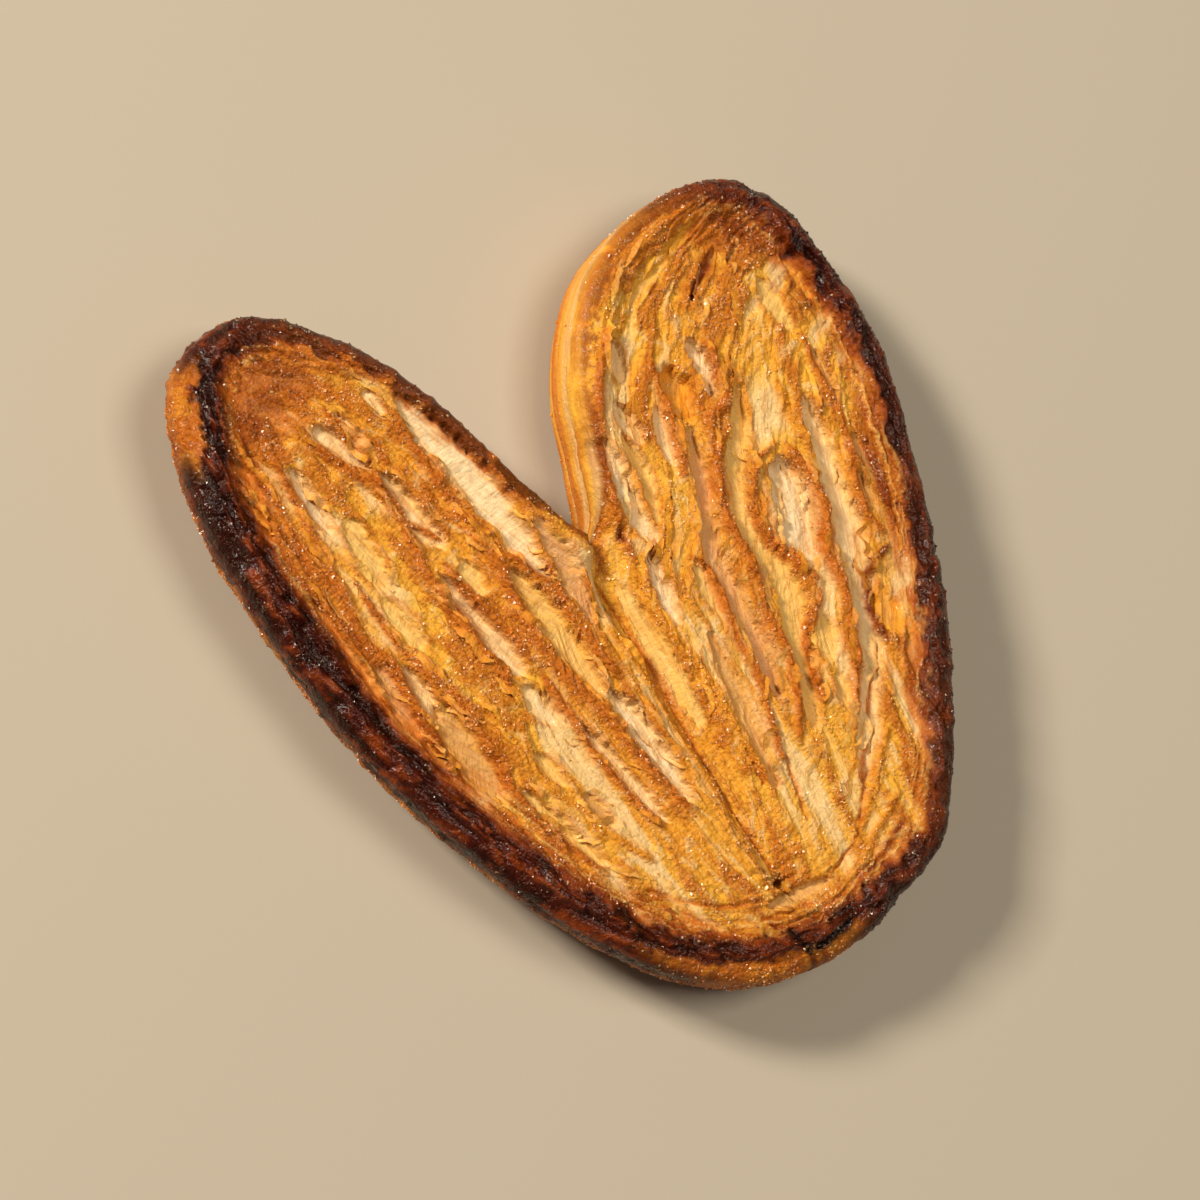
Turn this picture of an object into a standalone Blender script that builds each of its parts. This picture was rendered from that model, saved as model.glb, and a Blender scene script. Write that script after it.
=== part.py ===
"""Palmier pastry: one baked piece, lying flat with its caramelised face up.

Metres, +Z up.  The heart points to -Y, its two rolled lobes to +Y, and the
origin is the centre of the bottom of the bounding box.

Each lobe is one sheet of strands that run from the base of the heart to the
lobe's tip.  A strand keeps its place `across` the lobe, from 0 at the inner
edge to 1 at the outer edge, and `along` runs from 0 at the base to 1 at the
tip.  The two sheets share the seam down the middle of the heart.
"""
import math

import bmesh
import bpy
from mathutils import Vector

MM = 0.001

# ---------------------------------------------------------------- sizes, mm
FACE_HEIGHT = 11.4          # the open face, away from rim and strands
RIM_HEIGHT = 1.2            # how far the rim stands above the face
RIM_INSET = 1.6             # from the face's edge to the crest of the rim
RIM_WIDTH = 1.9
BASE_DROP = 1.0             # the thin outer layers that wrap round the base
BASE_DROP_REACH = 9.0
TIP_RISE = 0.5              # the lobes puff up towards their tips
TIP_RISE_Y = (10.0, 40.0)   # where that rise starts and ends

STRAND_HEIGHT = 0.62        # half the depth from ridge to furrow
STRANDS_LEFT = 7
STRANDS_RIGHT = 8
STRAND_WANDER = 0.13        # in strand spacings
WANDER_BENDS = (7.0, 9.0)   # radians along the lobe and across it
STRAND_PINCH = 0.4          # a strand's height falls by up to this share
PINCH_BENDS = (11.0, -5.0)  # radians along the lobe, and from strand to strand
STRAND_FADE = (0.5, 5.0)    # from the edges inwards, where the strands rise
FADE_AT_BASE = 40.0         # how soon they rise from the base, at the outer edge

SEAM_DEPTH = 2.6
SEAM_DEPTH_AT_BASE = 1.2
SEAM_WIDTH_LEFT = 1.3       # the left side of the seam is the steep one
SEAM_WIDTH_RIGHT = 3.2

WALL_BULGE = 1.3            # the side swells past the face's edge
CLEFT_CALM = 9.0            # no swelling this near the bottom of the cleft
UNDERCUT = 2.4              # the left lobe's outer side leans in this much below
UNDERCUT_X = (8.0, 24.0)    # left of the middle, where the lean starts and is full
UNDERCUT_FACING = 0.9       # how squarely a side faces left where the lean is full
UNDERCUT_POWER = 1.5

# Where the strands gather: just above the bottom of the heart.
GATHER_POWER = 2.6
GATHER_SHARE = 0.86
GATHER_END = 0.42           # along the lobe, where the strands are even again
TIP_BLEND_START = 0.62      # along the lobe, where it starts to follow the tip

# -------------------------------------------- outline of the face, mm, from above
GATHER = (-3.1, -37.2)
BOTTOM = (-1.5, -46.5)
CLEFT = (-3.2, 7.0)

SEAM = (GATHER, (-3.9, -32.0), (-3.8, -23.0), (-4.7, -15.0), (-4.5, -8.0),
        (-4.9, 1.5), CLEFT)

LEFT_OUTER = (BOTTOM, (-8.0, -45.5), (-14.0, -43.0), (-19.8, -38.7),
              (-25.6, -31.5), (-31.0, -22.0), (-35.3, -12.0), (-38.8, -1.5),
              (-41.0, 11.0), (-42.2, 24.0), (-41.6, 33.0), (-39.8, 40.2))
LEFT_TIP = (LEFT_OUTER[-1], (-37.6, 43.8), (-33.0, 46.0), (-28.5, 46.2),
            (-24.8, 44.4))
LEFT_INNER = (CLEFT, (-6.4, 11.5), (-8.6, 16.5), (-11.0, 22.5), (-13.7, 29.5),
              (-17.5, 36.5), (-21.5, 41.0), LEFT_TIP[-1])

RIGHT_OUTER = (BOTTOM, (4.5, -45.8), (10.0, -44.0), (16.2, -42.0),
               (21.6, -36.2), (26.5, -28.5), (31.0, -20.5), (34.5, -11.5),
               (37.8, -0.5), (40.2, 8.5), (40.9, 15.0), (40.0, 23.0),
               (38.8, 29.6))
RIGHT_TIP = (RIGHT_OUTER[-1], (37.4, 33.2), (34.6, 36.2), (31.0, 37.8),
             (26.6, 38.2))
RIGHT_INNER = (CLEFT, (-0.6, 10.0), (2.0, 15.3), (4.3, 22.7), (8.3, 29.4),
               (13.6, 34.6), (20.5, 37.4), RIGHT_TIP[-1])

# Pale pockets, where a furrow between two strands opens up: which furrow, counted
# from the inner edge, where it starts and ends along the lobe, and its depth.
LEFT_POCKETS = (
    (0, 0.26, 0.52, 0.9), (1, 0.10, 0.30, 1.8), (1, 0.33, 0.45, 1.2),
    (1, 0.45, 0.78, 1.9), (2, 0.52, 0.74, 0.9), (3, 0.12, 0.30, 0.9),
    (3, 0.34, 0.48, 1.6), (3, 0.50, 0.78, 1.4), (4, 0.42, 0.60, 0.9),
    (5, 0.26, 0.40, 1.6), (5, 0.48, 0.80, 1.5), (6, 0.30, 0.46, 0.9),
    (6, 0.58, 0.84, 1.4),
)
RIGHT_POCKETS = (
    (1, 0.22, 0.34, 1.0), (1, 0.34, 0.56, 1.9), (2, 0.18, 0.44, 1.5),
    (2, 0.48, 0.66, 1.3), (3, 0.22, 0.46, 1.7), (3, 0.56, 0.76, 1.8),
    (4, 0.14, 0.28, 1.2), (4, 0.32, 0.48, 2.4), (5, 0.52, 0.72, 1.0),
    (6, 0.10, 0.26, 1.4), (6, 0.28, 0.54, 2.0), (7, 0.34, 0.50, 1.0),
)

# ------------------------------------------------------------------- mesh
SEAM_ROWS = 20
LOBE_ROWS = 45
COLUMNS = 32
WELD = 0.001                # points nearer than this are one
# The side, from the face's edge down: swelling as a share, height as a share.
WALL_RINGS = ((0.65, 0.94), (1.0, 0.78), (1.0, 0.45), (0.6, 0.12), (-0.5, 0.0))

CRUST_COLOUR = (0.50, 0.20, 0.035, 1.0)
CRUST_ROUGHNESS = 0.5
SHARP_EDGE = math.radians(50.0)


def smoothstep(low, high, value):
    """0 below low, 1 above high, and a smooth rise between them."""
    share = min(max((value - low) / (high - low), 0.0), 1.0)
    return share * share * (3.0 - 2.0 * share)


def bell(distance, width):
    """A smooth bump, 1 high at distance 0."""
    return math.exp(-((distance / width) ** 2))


class Path:
    """A smooth curve through a few points, measured by its length."""

    SAMPLES = 12

    def __init__(self, corners):
        points = [Vector(corner) for corner in corners]
        before = points[0] * 2.0 - points[1]
        after = points[-1] * 2.0 - points[-2]
        padded = [before, *points, after]
        self.line = [points[0]]
        for a, b, c, d in zip(padded, padded[1:], padded[2:], padded[3:]):
            for step in range(1, self.SAMPLES + 1):
                self.line.append(self.blend(a, b, c, d, step / self.SAMPLES))
        self.length = [0.0]
        for start, end in zip(self.line, self.line[1:]):
            self.length.append(self.length[-1] + (end - start).length)

    @staticmethod
    def blend(a, b, c, d, u):
        """Catmull-Rom: from b to c, with a and d as neighbours."""
        bend = (a * 2.0 - b * 5.0 + c * 4.0 - d) * u * u
        twist = (b * 3.0 - a - c * 3.0 + d) * u * u * u
        return (b * 2.0 + (c - a) * u + bend + twist) * 0.5

    def at(self, share):
        """The point that lies this share of the way along."""
        wanted = min(max(share, 0.0), 1.0) * self.length[-1]
        low, high = 0, len(self.length) - 1
        while high - low > 1:
            middle = (low + high) // 2
            if self.length[middle] <= wanted:
                low = middle
            else:
                high = middle
        span = self.length[high] - self.length[low]
        return self.line[low].lerp(self.line[high], (wanted - self.length[low]) / span)

    def distance(self, point):
        """How far a point is from the curve."""
        best = math.inf
        for start, end in zip(self.line, self.line[1:]):
            run = end - start
            share = min(max((point - start).dot(run) / run.dot(run), 0.0), 1.0)
            best = min(best, (start + run * share - point).length)
        return best


class Lobe:
    """One half of the heart, as a sheet of strands."""

    seam = Path(SEAM)

    def __init__(self, inner, outer, tip, strands, pockets):
        self.inner = Path(inner)
        self.outer = Path(outer)
        self.tip = Path(tip)
        self.strands = strands
        self.pockets = pockets

    def inner_edge(self, along):
        seam_share = SEAM_ROWS / LOBE_ROWS
        if along <= seam_share:
            return self.seam.at(along / seam_share)
        return self.inner.at((along - seam_share) / (1.0 - seam_share))

    def place(self, along, across):
        """The point of the face, from above, at a place on the sheet."""
        gather = GATHER_SHARE * (1.0 - smoothstep(0.0, GATHER_END, along))
        share = across * (1.0 - gather + gather * across ** GATHER_POWER)
        point = self.inner_edge(along).lerp(self.outer.at(along), share)
        end = self.inner.at(1.0).lerp(self.outer.at(1.0), across)
        weight = smoothstep(TIP_BLEND_START, 1.0, along) ** 2
        return point + (self.tip.at(1.0 - across) - end) * weight

    def relief(self, along, across):
        """Height of strands and pockets over the face."""
        bend = WANDER_BENDS[0] * along + WANDER_BENDS[1] * across
        place = self.strands * across + STRAND_WANDER * math.sin(bend + self.strands)
        wave = math.cos(2.0 * math.pi * place)
        bend = PINCH_BENDS[0] * along + PINCH_BENDS[1] * place
        pinch = 1.0 - STRAND_PINCH * math.sin(bend) ** 2
        height = STRAND_HEIGHT * wave * pinch
        for furrow, start, end, depth in self.pockets:
            if int(place) == furrow and start < along < end:
                opening = math.sin(math.pi * (along - start) / (end - start))
                height -= depth * math.sqrt(opening) * (1.0 - wave) / 2.0
        return height


LEFT = Lobe(LEFT_INNER, LEFT_OUTER, LEFT_TIP, STRANDS_LEFT, LEFT_POCKETS)
RIGHT = Lobe(RIGHT_INNER, RIGHT_OUTER, RIGHT_TIP, STRANDS_RIGHT, RIGHT_POCKETS)
OPEN_EDGES = (LEFT.inner, LEFT.outer, LEFT.tip, RIGHT.inner, RIGHT.outer, RIGHT.tip)


def seam_depth(point):
    """How far the seam between the lobes sinks the face at a point."""
    line = Lobe.seam
    nearest = min(line.line, key=lambda corner: (corner - point).length)
    steep = point.x < nearest.x
    width = SEAM_WIDTH_LEFT if steep else SEAM_WIDTH_RIGHT
    climb = smoothstep(GATHER[1], CLEFT[1], nearest.y)
    deep = SEAM_DEPTH_AT_BASE + (SEAM_DEPTH - SEAM_DEPTH_AT_BASE) * climb
    return deep * bell(line.distance(point), width)


def face_height(lobe, along, across, point):
    """Height of the top of the pastry."""
    edge = min(path.distance(point) for path in OPEN_EDGES)
    rim = RIM_HEIGHT * bell(edge - RIM_INSET, RIM_WIDTH)
    base = BASE_DROP * bell((point - Vector(BOTTOM)).length, BASE_DROP_REACH)
    tips = TIP_RISE * smoothstep(*TIP_RISE_Y, point.y)
    inside = smoothstep(*STRAND_FADE, min(edge, FADE_AT_BASE * across * along))
    relief = inside * lobe.relief(along, across)
    return FACE_HEIGHT + rim + tips + relief - base - seam_depth(point)


def add_lobe(mesh, lobe):
    """Add the face of one lobe as a grid, then move its points into place."""
    made = bmesh.ops.create_grid(mesh, x_segments=LOBE_ROWS, y_segments=COLUMNS, size=1.0)
    for vertex in made["verts"]:
        along = (vertex.co.x + 1.0) / 2.0
        across = (vertex.co.y + 1.0) / 2.0
        point = lobe.place(along, across)
        height = face_height(lobe, along, across, point)
        vertex.co = (point.x, point.y, height)


def edge_loop(mesh):
    """The open edge of the face, in order round the heart."""
    start = next(edge for edge in mesh.edges if edge.is_boundary)
    loop = [start.verts[0], start.verts[1]]
    while loop[-1] is not loop[0]:
        last, previous = loop[-1], loop[-2]
        for edge in last.link_edges:
            other = edge.other_vert(last)
            if edge.is_boundary and other is not previous:
                loop.append(other)
                break
    return loop[:-1]


def outward(loop, index):
    """The direction away from the pastry at one point of its edge."""
    before = loop[index - 1].co
    after = loop[(index + 1) % len(loop)].co
    tangent = (after - before).to_2d().normalized()
    return Vector((tangent.y, -tangent.x))


def add_wall(mesh):
    """Carry the open edge down in swelling rings, and close the flat bottom."""
    loop = edge_loop(mesh)
    area = sum(a.co.x * b.co.y - b.co.x * a.co.y for a, b in zip(loop, loop[1:] + loop[:1]))
    if area < 0.0:
        loop.reverse()
    tops = [vertex.co.copy() for vertex in loop]
    sides = [outward(loop, index) for index in range(len(loop))]
    calm = [smoothstep(0.0, CLEFT_CALM, (top.to_2d() - Vector(CLEFT)).length) for top in tops]
    lean = [UNDERCUT * smoothstep(*UNDERCUT_X, -top.x) * smoothstep(0.0, UNDERCUT_FACING, -side.x)
            for top, side in zip(tops, sides)]
    previous = loop
    for swelling, level in WALL_RINGS:
        ring = []
        for top, side, ease, undercut in zip(tops, sides, calm, lean):
            out = WALL_BULGE * swelling * ease - undercut * (1.0 - level) ** UNDERCUT_POWER
            place = top.to_2d() + side * out
            ring.append(mesh.verts.new((place.x, place.y, top.z * level)))
        for index, corner in enumerate(ring):
            mesh.faces.new((previous[index - 1], ring[index - 1], corner, previous[index]))
        previous = ring
    mesh.faces.new(list(reversed(previous)))


def centre_on_origin(mesh):
    """Put the bottom centre of the bounding box on the origin."""
    lows = [min(vertex.co[axis] for vertex in mesh.verts) for axis in range(3)]
    highs = [max(vertex.co[axis] for vertex in mesh.verts) for axis in range(3)]
    shift = Vector((-(lows[0] + highs[0]) / 2.0, -(lows[1] + highs[1]) / 2.0, -lows[2]))
    bmesh.ops.translate(mesh, vec=shift, verts=mesh.verts)


def crust_material():
    material = bpy.data.materials.new("palmier_crust")
    material.use_nodes = True
    shader = material.node_tree.nodes["Principled BSDF"]
    shader.inputs["Base Color"].default_value = CRUST_COLOUR
    shader.inputs["Roughness"].default_value = CRUST_ROUGHNESS
    shader.inputs["Metallic"].default_value = 0.0
    return material


def make_palmier():
    mesh = bmesh.new()
    add_lobe(mesh, LEFT)
    add_lobe(mesh, RIGHT)
    bmesh.ops.remove_doubles(mesh, verts=mesh.verts, dist=WELD)
    add_wall(mesh)
    centre_on_origin(mesh)
    bmesh.ops.recalc_face_normals(mesh, faces=mesh.faces)
    bmesh.ops.scale(mesh, vec=(MM, MM, MM), verts=mesh.verts)
    data = bpy.data.meshes.new("palmier")
    mesh.to_mesh(data)
    mesh.free()
    data.shade_smooth()
    data.set_sharp_from_angle(angle=SHARP_EDGE)
    data.materials.append(crust_material())
    return bpy.data.objects.new("palmier", data)


def main():
    for item in list(bpy.data.objects):
        bpy.data.objects.remove(item, do_unlink=True)
    collection = bpy.data.collections.new("palmier")
    bpy.context.scene.collection.children.link(collection)
    collection.objects.link(make_palmier())


main()
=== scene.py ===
"""Looks of the palmier: a heart of flaky strands with a dark caramel rim.

Lengths are millimetres until a mesh is made, and metres after that.  The two
lobes are sheets of strands, as in the CAD.  `along` runs from 0 at the base of
the heart to 1 at a lobe's tip, and `across` from 0 at its inner edge to 1 at
its outer edge.
"""
import math
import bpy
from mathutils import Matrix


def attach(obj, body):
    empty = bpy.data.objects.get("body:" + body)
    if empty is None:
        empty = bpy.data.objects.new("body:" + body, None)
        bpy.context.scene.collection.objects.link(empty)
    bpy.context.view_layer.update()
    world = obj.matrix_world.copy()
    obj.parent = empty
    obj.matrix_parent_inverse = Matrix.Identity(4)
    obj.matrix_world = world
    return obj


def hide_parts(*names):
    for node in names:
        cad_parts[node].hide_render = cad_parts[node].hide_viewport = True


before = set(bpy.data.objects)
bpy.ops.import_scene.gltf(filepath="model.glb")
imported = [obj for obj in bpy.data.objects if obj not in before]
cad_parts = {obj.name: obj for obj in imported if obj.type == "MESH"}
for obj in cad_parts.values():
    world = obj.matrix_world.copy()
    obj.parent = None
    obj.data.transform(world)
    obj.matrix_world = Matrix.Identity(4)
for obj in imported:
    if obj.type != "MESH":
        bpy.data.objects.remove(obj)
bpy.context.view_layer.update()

from types import SimpleNamespace

import bmesh
import bpy
import numpy as np
from mathutils import Matrix, Vector

MM = 0.001

# ---- body, mm
FACE_HEIGHT = 11.4
RIM_HEIGHT = 1.1
RIM_INSET = 1.6
RIM_WIDTH = 1.9
BASE_DROP = 1.0
BASE_DROP_REACH = 9.0
TIP_RISE = 0.5
TIP_RISE_FROM = (10.0, 40.0)
SEAM_DEPTH = 2.6
SEAM_DEPTH_AT_BASE = 1.2
SEAM_WIDTH_LEFT = 1.0
SEAM_WIDTH_RIGHT = 3.2
CLEFT_CALM = 9.0            # how far from the cleft's bottom the sides are plain
GATHER_POWER = 2.6          # how strongly the strands crowd towards the seam at the base
GATHER_SHARE = 0.9
GATHER_END = 0.42
TIP_BLEND_START = 0.62

# The side, from the face's edge down: how far out and how high, for a side this tall.
SIDE_HEIGHT = 12.0
SIDE = ((0.0, 12.0), (0.8, 11.4), (1.3, 10.2), (1.4, 8.2), (1.3, 5.8), (1.1, 3.4),
        (0.7, 1.4), (0.1, 0.4), (-0.9, 0.0))
SMOOTH_SIDE_END = 26.0      # x where the right lobe's smooth inner side turns rough
UNDERCUT = 2.4              # how far the left lobe's outer side leans in below
UNDERCUT_FROM = (8.0, 24.0)     # it begins and is full this far left of the middle
BODY_BOTTOM = 0.7           # the underside's skin covers the rest
UNDERSIDE_TOP = 1.1         # that skin's hidden top
UNDERSIDE_RISE = 0.28       # how far its strands lie above the ground on average
FOOT_INSET = 0.95           # from the face's edge in to the foot of the side

# How high the fine relief stands: strands, sharp crinkles and fibres on the face, the
# layers that wrap round the base, the thin layers inside the rim and the rim's ropes,
# a pocket's lip, and the side's layers, grain and ropes.
RIBS, CRINKLES, FIBRES, WRAPS = 0.24, 0.16, 0.10, 0.20
THREADS, ROPES, LIP = 0.17, 0.34, 0.14
SIDE_LAYERS, SIDE_GRAIN, SIDE_ROPES = 0.34, 0.24, 0.22
CRUMB_SIZE = 0.6            # grains of the baked surface, from fine to broad
CLUMP_SIZE = 1.4
BLOTCH_SIZE = (6.0, 9.0)
POCKET_DEPTH = 0.62         # scales every pocket's depth
RIDGE_HEIGHT = 0.7          # scales every ridge's height
LINE_TAPER = 0.35           # how far in from its ends a drawn line thins
LINE_WOBBLE = 0.2           # how much its width varies

# Mesh of a lobe: rows along it, and of those along the seam, columns across it,
# and rings down its side.
LOBE_MESH = (240, 107, 290)
UNDER_MESH = (110, 49, 76)
WALL_RINGS = 20
SHARP_FROM = math.radians(68.0)

# Thin sheets of pastry that lean out of the face, and sugar on it.
FLAKES = 110                # on each lobe
FLAKE_LENGTH = (1.8, 5.5)
FLAKE_HEIGHT = (0.5, 1.1)
FLAKE_LEAN = (1.1, 1.4)     # radians from upright
FLAKE_CURL = (-0.3, 0.35)   # how much further its upper half leans
FLAKE_HALF_THICKNESS = 0.05
FLAKE_ROOT = 0.3            # how deep its foot sits in the face
FLAKE_FREE = (12, 26, 12, 22)   # rows at the base and tip, columns at the two edges
FACE_SUGAR = 14500          # on each lobe
FACE_SUGAR_SIZE = (0.10, 0.32)
RIM_SUGAR = 2400            # on each lobe
RIM_SUGAR_SIZE = (0.08, 0.28)
SUGAR_SINK = (-0.35, 0.08)  # of a crystal's size, along the surface's normal
SUGAR_STRETCH = (0.55, 1.15)
SUGAR_SKEW = 0.16
SUGAR_SHADES = (0.75, 1.35)     # how dark or light a crystal is beside the crust
SMALL_FIRST = 2.2           # the higher, the more of the crystals are small

# Seeds of the random patterns.
LOBE_SEEDS = {"left": 10, "right": 1010}
UNDERSIDE_SEEDS = {"left": 2010, "right": 3010}
SUGAR_SEEDS = {"left": 31, "right": 32}
POCKET_SEED, RIDGE_SEED, SHADED_GROOVE_SEED, BURN_SEED = 300, 500, 700, 900

# ---- outline of the face, mm
GATHER = (-3.1, -37.2)
BOTTOM = (-1.5, -46.5)
CLEFT = (-3.2, 7)
SEAM = (GATHER, (-3.9, -32), (-3.8, -23), (-4.7, -15), (-4.5, -8), (-4.9, 1.5), CLEFT)
LEFT_OUTER = (BOTTOM, (-8, -45.5), (-14, -43), (-19.8, -38.7), (-25.6, -31.5), (-31, -22),
              (-35.3, -12), (-38.8, -1.5), (-41, 11), (-42.2, 24), (-41.6, 33), (-39.8, 40.2))
LEFT_TIP = (LEFT_OUTER[-1], (-37.6, 43.8), (-33, 46), (-28.5, 46.2), (-24.8, 44.4))
LEFT_INNER = (CLEFT, (-6.4, 11.5), (-8.6, 16.5), (-11, 22.5), (-13.7, 29.5), (-17.5, 36.5),
              (-21.5, 41), LEFT_TIP[-1])
RIGHT_OUTER = (BOTTOM, (4.5, -45.8), (10, -44), (16.2, -42), (21.6, -36.2), (26.5, -28.5),
               (31, -20.5), (34.5, -11.5), (37.8, -0.5), (40.2, 8.5), (40.9, 15), (40, 23),
               (38.8, 29.6))
RIGHT_TIP = (RIGHT_OUTER[-1], (37.4, 33.2), (34.6, 36.2), (31, 37.8), (26.6, 38.2))
RIGHT_INNER = (CLEFT, (-0.6, 10), (2, 15.3), (4.3, 22.7), (8.3, 29.4), (13.6, 34.6),
               (20.5, 37.4), RIGHT_TIP[-1])

# ---- colours, as sRGB bytes
TONES = {
    "cream": (234, 204, 154), "pale": (232, 196, 138), "yellow": (226, 180, 98),
    "tan": (206, 152, 84), "mauve": (208, 154, 98), "gold": (232, 168, 54),
    "orange": (226, 146, 40), "brown": (202, 112, 30), "rust": (134, 56, 14),
    "caramel": (62, 14, 4), "black": (24, 5, 1),
}

# The face's own features, given one by one.  Their zero lies beside the middle of the
# heart.  Each has a tone, half a width, a height and the points of its line.
DRAWN_FROM = (-6.5, 0.8)
POCKETS = (
    # left lobe, from the outer edge inwards
    ("tan", 0.9, -1, (-30.9, 32.3), (-29.5, 27.6)),
    ("tan", 1.2, -1.1, (-32, 28.4), (-31, 22.4)),
    ("tan", 0.6, -0.9, (-30.3, 15), (-29.4, 8), (-28.7, 0)),
    ("cream", 0.9, -1.5, (-25.1, 28.5), (-24.4, 20.6)),
    ("yellow", 1.4, -0.7, (-22.2, 21), (-22, 12.5)),
    ("yellow", 1.2, -0.8, (-22.8, 11.2), (-21.4, 4.6)),
    ("mauve", 1.3, -1.1, (-26.9, 5), (-26.7, -4)),
    ("pale", 0.8, -0.9, (-26.6, -4.6), (-26, -9)),
    ("pale", 1.1, -1.2, (-24.6, 3.4), (-23.9, -3.2)),
    ("tan", 1.9, -1.3, (-23.3, -2.2), (-22.6, -8), (-21.4, -14.2)),
    ("pale", 1.2, -1.4, (-20.4, 31.5), (-18.4, 27.8), (-16.9, 25.2)),
    ("pale", 0.9, -1, (-17.8, 32), (-15.6, 27)),
    ("pale", 1.5, -1.5, (-16, 23.4), (-14.9, 18), (-13.4, 13.6)),
    ("pale", 1.5, -1.6, (-15.6, 10.4), (-14.5, 4.8), (-12.2, -3.2)),
    ("pale", 0.8, -0.9, (-13.4, 33), (-12.6, 29.6)),
    ("yellow", 1.1, -0.8, (-12.6, 11), (-12, 6.6)),
    ("pale", 1.4, -0.9, (-13.2, -4.8), (-11.6, -9.6)),
    ("cream", 1.9, -1.9, (-10.2, 30.6), (-8.6, 25.6), (-6.7, 20.2), (-5.6, 14), (-4.3, 5.6)),
    ("yellow", 1.7, -1.4, (-7.9, 7.6), (-6.4, 1.6), (-5.8, -4), (-5.2, -9.6)),
    ("mauve", 1.3, -1.1, (-2.2, 11.4), (-1.6, 5), (-1.8, -1.6)),
    ("cream", 1.6, -1.9, (-4.2, -9.8), (-2.9, -15.4), (-1.9, -24.4)),
    ("pale", 0.9, -1.2, (-9.2, -11.6), (-7.9, -17.4), (-5.6, -25.4)),
    ("yellow", 1.1, -1, (-19.2, -14.8), (-17.2, -20.8), (-14.6, -26)),
    ("tan", 0.8, -0.8, (-12.8, -18.4), (-11.6, -23)),
    ("yellow", 0.9, -0.8, (-15.8, -12), (-14.4, -16.4)),
    ("pale", 0.5, -0.6, (0.3, 0.4), (0.9, -3.4)),
    # right lobe, from the inner edge outwards
    ("cream", 1.5, -1.6, (9.4, 16), (9.3, 9), (9.9, 2.6)),
    ("yellow", 0.9, -1.1, (12.4, 15.6), (12.6, 9.6), (11.4, 4.8)),
    ("cream", 1.1, -1.5, (8.6, 2.4), (7.9, -2), (7.3, -6.6)),
    ("yellow", 1.3, -1, (13.1, -1.4), (12.6, -7.6)),
    ("pale", 1.2, -1.2, (13.6, 19.2), (14.3, 13.8)),
    ("pale", 1.1, -1.3, (16.9, 26), (15.8, 21)),
    ("pale", 1.1, -1.2, (18, 16.6), (16.6, 10.2)),
    ("mauve", 1.3, -1.7, (20.6, 12.4), (18.6, 6.4), (15.9, -1), (15.3, -10), (14.2, -19.6)),
    # Its orange is partly the sheet's own tan and partly painted shade in this deep recess.
    ("orange", 1.8, -2.3, (21.6, 20.2), (21.4, 13.8)),
    ("cream", 1.2, -1.8, (25.8, 22), (26.2, 18.6), (25.2, 15.2)),
    ("yellow", 1.8, -1.7, (28.4, 14), (26, 9.6), (22, 5), (21.2, -1), (21.9, -7.4), (20.6, -13),
     (18.4, -18.6), (16.6, -24.6)),
    ("cream", 2.5, -2.3, (28.9, 4.6), (27.6, -0.6), (26.3, -7.4)),
    ("pale", 1.8, -1.8, (35.6, 9.6), (34.5, 2), (32.9, -4.6), (30.9, -12), (27.6, -19), (23.6, -26),
     (18.6, -32.4)),
    ("tan", 0.9, -0.9, (38.9, 3.4), (39, -0.8)),
    ("tan", 0.8, -0.9, (37.2, -0.6), (37, -5.6)),
    ("yellow", 1.5, -0.9, (24.2, -13.8), (22.2, -18.4)),
    ("yellow", 1, -0.8, (22.4, -20.4), (21.2, -24)),
    ("tan", 1.1, -1.1, (10.3, -9.4), (9.8, -17), (8.4, -28.4)),
    ("yellow", 1.1, -0.5, (3.6, 0.4), (4.4, -8), (4.4, -18)),
    ("yellow", 1.1, -0.7, (37.6, 24.6), (38.6, 18)),
    ("gold", 0.8, -0.9, (42.4, 28), (42.8, 20)),
    # The rust of these two lines is painted shadow in narrow recesses by the right tip.
    ("rust", 0.6, -1, (28.6, 26.2), (31.6, 28.2), (34.4, 30.2)),
    ("rust", 0.5, -0.8, (35.2, 28.2), (37.4, 29.6)),
    ("tan", 0.8, -0.8, (39.8, 14.4), (39.6, 8.4)),
    ("orange", 1.7, -0.8, (32, -14), (32, -19.4)),
    ("tan", 0.9, -1.3, (0.6, -39.6), (4.6, -40.2), (8.8, -40.4)),
)
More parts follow.
